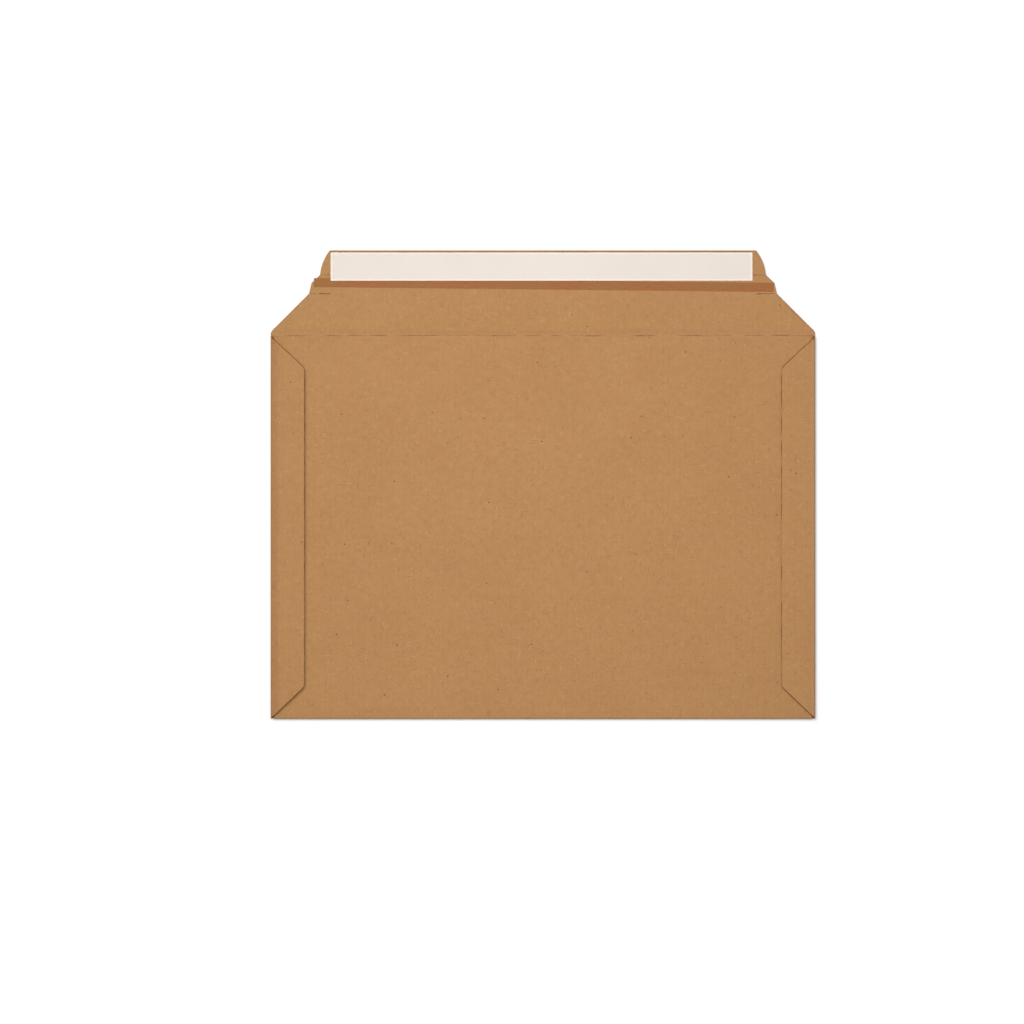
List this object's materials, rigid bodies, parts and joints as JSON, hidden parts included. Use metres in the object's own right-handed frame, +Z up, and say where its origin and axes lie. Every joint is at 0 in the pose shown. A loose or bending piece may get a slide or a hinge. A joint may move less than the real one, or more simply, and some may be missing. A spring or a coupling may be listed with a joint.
{
  "type": "corrugated cardboard envelope",
  "caption": "Flat corrugated cardboard envelope with glued side flaps, a hinged closing flap, a tear tape and a peel-off seal strip.",
  "frame": {"origin": "middle of the footprint of the open envelope, on the surface that its front panel lies on", "axes": "+X along the mouth and the crease, +Y from the pocket towards the flap's free edge, +Z up, out of the back of the envelope"},
  "size_m": [0.334, 0.2874, 0.0052],
  "materials": {
    "kraft_board": "matte",
    "tear_tape": "matte",
    "liner": "satin",
    "glue": "satin"
  },
  "bodies": {
    "pocket": {"pocket_board": "kraft_board", "side_glue_left": "glue", "side_glue_right": "glue"},
    "flap": {"closing_flap": "kraft_board", "tear_tape": "tear_tape", "adhesive_strip": "glue", "release_liner": "liner"}
  },
  "joints": [
    {"name": "flap_crease", "type": "hinge", "parent": "pocket", "child": "flap", "pos_m": [0, 0.09125, 0.0035], "axis": [1, 0, 0], "range_deg": [0, 178]}
  ]
}
